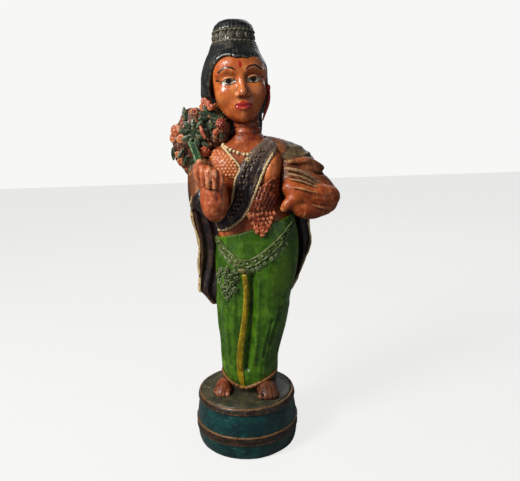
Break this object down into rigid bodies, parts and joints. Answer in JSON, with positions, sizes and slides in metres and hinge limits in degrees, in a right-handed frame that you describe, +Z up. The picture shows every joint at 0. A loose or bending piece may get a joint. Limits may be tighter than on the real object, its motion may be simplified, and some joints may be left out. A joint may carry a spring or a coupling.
{
  "type": "standing deity figurine",
  "caption": "Painted clay standing figure in a draped skirt, scarf and cloak, holding a flower spray, on a round drum base with a vent hole underneath.",
  "frame": {"origin": "centre of the drum base's underside, on the axis of its vent hole", "axes": "+Z up through the figure; the front of the figure faces -Y; +X is the figure's own left side"},
  "size_m": [0.1133, 0.0764, 0.3],
  "materials": {
    "teal_enamel": "aged gloss enamel over fired clay, teal",
    "ground_paint": "aged satin paint over fired clay, grey green",
    "bare_clay": "matt bare fired clay",
    "band_paint": "aged gloss paint over fired clay, ochre brown",
    "rod_wood": "raw wood",
    "green_enamel": "aged gloss enamel over fired clay, leaf green",
    "ochre_paint": "aged gloss paint, yellow ochre",
    "hem_paint": "aged satin paint, orange brown",
    "skin_enamel": "aged gloss varnish over orange paint",
    "foot_paint": "aged satin paint, brick red",
    "sash_paint": "dusty green paint with rubbed highlights",
    "hair_enamel": "aged satin black green paint",
    "ribbon_paint": "gloss dark red paint",
    "gold_paint": "dull gold paint",
    "brocade_paint": "dotted orange and gold paint",
    "garland_paint": "red orange paint over modelled florets",
    "cloak_enamel": "aged satin purple black paint",
    "drape_paint": "dusty grey green paint",
    "armlet_paint": "dusty gold brown paint",
    "leaf_paint": "gloss dark green paint",
    "stem_paint": "gloss bright green paint",
    "blossom_paint": "orange pink paint",
    "bud_paint": "brick orange paint"
  },
  "bodies": {
    "root": {"base_drum": "teal_enamel", "base_top": "ground_paint", "base_plug": "bare_clay", "base_band_lower": "band_paint", "base_band_upper": "band_paint", "core_rod": "rod_wood", "skirt": "green_enamel", "skirt_pleat": "ochre_paint", "skirt_hem": "hem_paint", "right_foot": "foot_paint", "left_foot": "foot_paint", "hip_sash": "sash_paint", "sash_fringe": "sash_paint", "sash_tassel": "sash_paint", "sash_knot": "gold_paint", "torso": "skin_enamel", "neck": "skin_enamel", "head": "skin_enamel", "hair_cap": "hair_enamel", "hair_back": "hair_enamel", "topknot": "hair_enamel", "topknot_bands": "hair_enamel", "topknot_coils": "hair_enamel", "right_hair_flowers": "bud_paint", "left_hair_ribbon": "ribbon_paint", "necklace": "gold_paint", "pendant": "gold_paint", "chest_brocade": "brocade_paint", "garland": "garland_paint", "garland_end": "garland_paint", "scarf": "cloak_enamel", "scarf_edge_right": "gold_paint", "scarf_edge_left": "gold_paint", "scarf_studs": "cloak_enamel", "cloak": "cloak_enamel", "cloak_edge_right": "gold_paint", "cloak_edge_left": "gold_paint", "shoulder_drape": "drape_paint", "right_upper_arm": "skin_enamel", "right_forearm": "skin_enamel", "right_hand": "skin_enamel", "left_upper_arm": "skin_enamel", "left_forearm": "skin_enamel", "left_armlet": "armlet_paint", "bouquet_ground": "leaf_paint", "bouquet_stems": "stem_paint", "bouquet_leaves": "leaf_paint", "bouquet_blossoms": "blossom_paint", "bouquet_buds": "bud_paint"}
  },
  "joints": []
}
